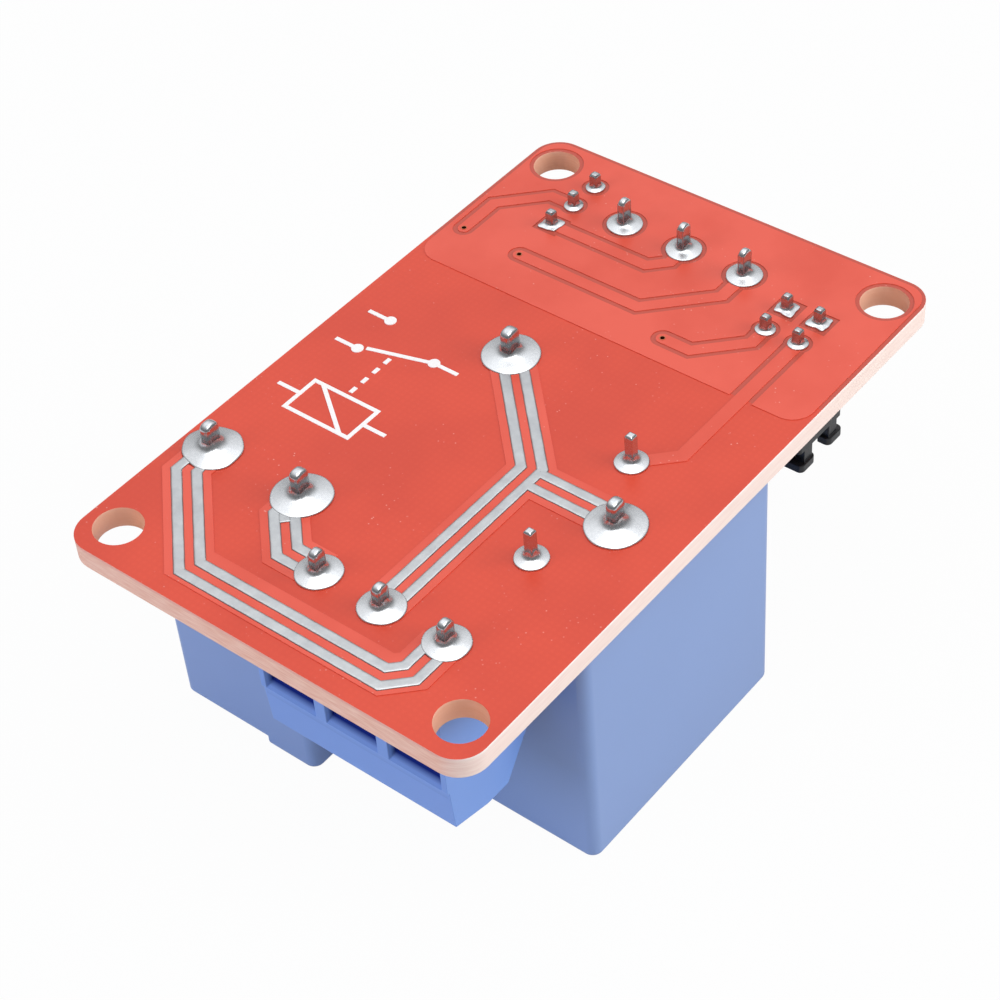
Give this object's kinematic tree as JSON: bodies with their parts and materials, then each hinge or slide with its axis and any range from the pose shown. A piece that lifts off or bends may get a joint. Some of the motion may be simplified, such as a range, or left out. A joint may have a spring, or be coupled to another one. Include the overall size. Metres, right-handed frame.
{
  "type": "relay module board",
  "caption": "Single-relay switching board lying on its relay, solder side up, with tinned high-current tracks, screw terminal blocks and jumper headers.",
  "frame": {"origin": "centre of the four mounting holes on the board's solder-side face", "axes": "+Z out of the solder side, +X along the long side from the output terminals to the input terminals, +Y across the board towards the normally-closed contact pin"},
  "size_m": [0.05, 0.0324, 0.0238],
  "materials": {
    "board": "glass-fibre laminate under red mask",
    "masked_copper": "copper foil under red mask",
    "tin": "tinned, satin",
    "solder": "solder, bright",
    "relay_blue": "moulded, semi-gloss",
    "base_plastic": "moulded",
    "bobbin_plastic": "moulded",
    "winding": "enamelled copper wire",
    "iron": "plated soft iron",
    "spring_copper": "rolled copper alloy",
    "contact_silver": "silver alloy",
    "terminal_blue": "moulded, semi-gloss",
    "screw_steel": "nickel plated",
    "clamp_steel": "zinc plated",
    "black_plastic": "moulded",
    "gold": "gold flashed",
    "cap_plastic": "moulded",
    "clip_bronze": "spring bronze",
    "red_led": "clear resin",
    "green_led": "clear resin"
  },
  "bodies": {
    "board": {"chip_terminals": "tin", "circuit_board": "board", "coil_bobbin": "bobbin_plastic", "coil_core": "iron", "coil_pin_pair": "tin", "coil_winding": "winding", "component_foil": "masked_copper", "copper_foil": "masked_copper", "diode": "black_plastic", "diode_tabs": "tin", "header_solder": "solder", "input_current_bars": "tin", "input_housing": "terminal_blue", "input_solder": "solder", "nc_contact": "spring_copper", "no_contact": "spring_copper", "optocoupler": "black_plastic", "optocoupler_leads": "tin", "output_current_bars": "tin", "output_housing": "terminal_blue", "output_solder": "solder", "power_led": "red_led", "relay_base": "base_plastic", "relay_case": "relay_blue", "relay_solder": "solder", "resistor_1": "black_plastic", "resistor_2": "black_plastic", "resistor_3": "black_plastic", "resistor_4": "black_plastic", "select_header_body": "black_plastic", "select_header_pins": "gold", "status_led": "green_led", "supply_header_body": "black_plastic", "supply_header_pins": "gold", "tinned_stripes": "tin", "transistor": "black_plastic", "transistor_leads": "tin", "trigger_header_body": "black_plastic", "trigger_header_pins": "gold", "yoke": "iron"},
    "armature": {"armature": "iron", "contact_spring": "spring_copper", "moving_contact": "contact_silver"},
    "output_screw_1": {"output_screw_1": "screw_steel"},
    "output_clamp_1": {"output_clamp_1": "clamp_steel"},
    "output_screw_2": {"output_screw_2": "screw_steel"},
    "output_clamp_2": {"output_clamp_2": "clamp_steel"},
    "output_screw_3": {"output_screw_3": "screw_steel"},
    "output_clamp_3": {"output_clamp_3": "clamp_steel"},
    "input_screw_1": {"input_screw_1": "screw_steel"},
    "input_clamp_1": {"input_clamp_1": "clamp_steel"},
    "input_screw_2": {"input_screw_2": "screw_steel"},
    "input_clamp_2": {"input_clamp_2": "clamp_steel"},
    "input_screw_3": {"input_screw_3": "screw_steel"},
    "input_clamp_3": {"input_clamp_3": "clamp_steel"},
    "select_cap": {"select_cap": "cap_plastic", "select_cap_clip": "clip_bronze"},
    "supply_cap": {"supply_cap": "cap_plastic", "supply_cap_clip": "clip_bronze"}
  },
  "joints": [
    {"name": "armature_swing", "type": "hinge", "parent": "board", "child": "armature", "pos_m": [0.00339, 0.00685, -0.0119], "axis": [0, 0, 1], "range_deg": [0, 3], "stiffness_Nm_per_rad": 0.03, "springref_deg": -4.58},
    {"name": "output_screw_1_turn", "type": "hinge", "parent": "board", "child": "output_screw_1", "pos_m": [-0.01904, 0.00074, -0.0105], "axis": [0, 0, 1], "range_deg": [0, 1650]},
    {"name": "output_clamp_1_rise", "type": "slide", "parent": "board", "child": "output_clamp_1", "axis": [0, 0, -1], "range_m": [0, 0.00229]},
    {"name": "output_screw_2_turn", "type": "hinge", "parent": "board", "child": "output_screw_2", "pos_m": [-0.01904, -0.00426, -0.0105], "axis": [0, 0, 1], "range_deg": [0, 1650]},
    {"name": "output_clamp_2_rise", "type": "slide", "parent": "board", "child": "output_clamp_2", "axis": [0, 0, -1], "range_m": [0, 0.00229]},
    {"name": "output_screw_3_turn", "type": "hinge", "parent": "board", "child": "output_screw_3", "pos_m": [-0.01904, -0.00926, -0.0105], "axis": [0, 0, 1], "range_deg": [0, 1650]},
    {"name": "output_clamp_3_rise", "type": "slide", "parent": "board", "child": "output_clamp_3", "axis": [0, 0, -1], "range_m": [0, 0.00229]},
    {"name": "input_screw_1_turn", "type": "hinge", "parent": "board", "child": "input_screw_1", "pos_m": [0.02034, 0.00554, -0.0105], "axis": [0, 0, 1], "range_deg": [0, 1650]},
    {"name": "input_clamp_1_rise", "type": "slide", "parent": "board", "child": "input_clamp_1", "axis": [0, 0, -1], "range_m": [0, 0.00229]},
    {"name": "input_screw_2_turn", "type": "hinge", "parent": "board", "child": "input_screw_2", "pos_m": [0.02034, 0.00054, -0.0105], "axis": [0, 0, 1], "range_deg": [0, 1650]},
    {"name": "input_clamp_2_rise", "type": "slide", "parent": "board", "child": "input_clamp_2", "axis": [0, 0, -1], "range_m": [0, 0.00229]},
    {"name": "input_screw_3_turn", "type": "hinge", "parent": "board", "child": "input_screw_3", "pos_m": [0.02034, -0.00446, -0.0105], "axis": [0, 0, 1], "range_deg": [0, 1650]},
    {"name": "input_clamp_3_rise", "type": "slide", "parent": "board", "child": "input_clamp_3", "axis": [0, 0, -1], "range_m": [0, 0.00229]},
    {"name": "select_cap_pull", "type": "slide", "parent": "board", "child": "select_cap", "axis": [0, 0, -1], "range_m": [0, 0.0065]},
    {"name": "supply_cap_pull", "type": "slide", "parent": "board", "child": "supply_cap", "axis": [0, 0, -1], "range_m": [0, 0.0065]}
  ],
  "couplings": [
    {"joint": "output_screw_1_turn", "follows": "output_clamp_1_rise", "rad_per_m": 12566},
    {"joint": "output_screw_2_turn", "follows": "output_clamp_2_rise", "rad_per_m": 12566},
    {"joint": "output_screw_3_turn", "follows": "output_clamp_3_rise", "rad_per_m": 12566},
    {"joint": "input_screw_1_turn", "follows": "input_clamp_1_rise", "rad_per_m": 12566},
    {"joint": "input_screw_2_turn", "follows": "input_clamp_2_rise", "rad_per_m": 12566},
    {"joint": "input_screw_3_turn", "follows": "input_clamp_3_rise", "rad_per_m": 12566}
  ]
}
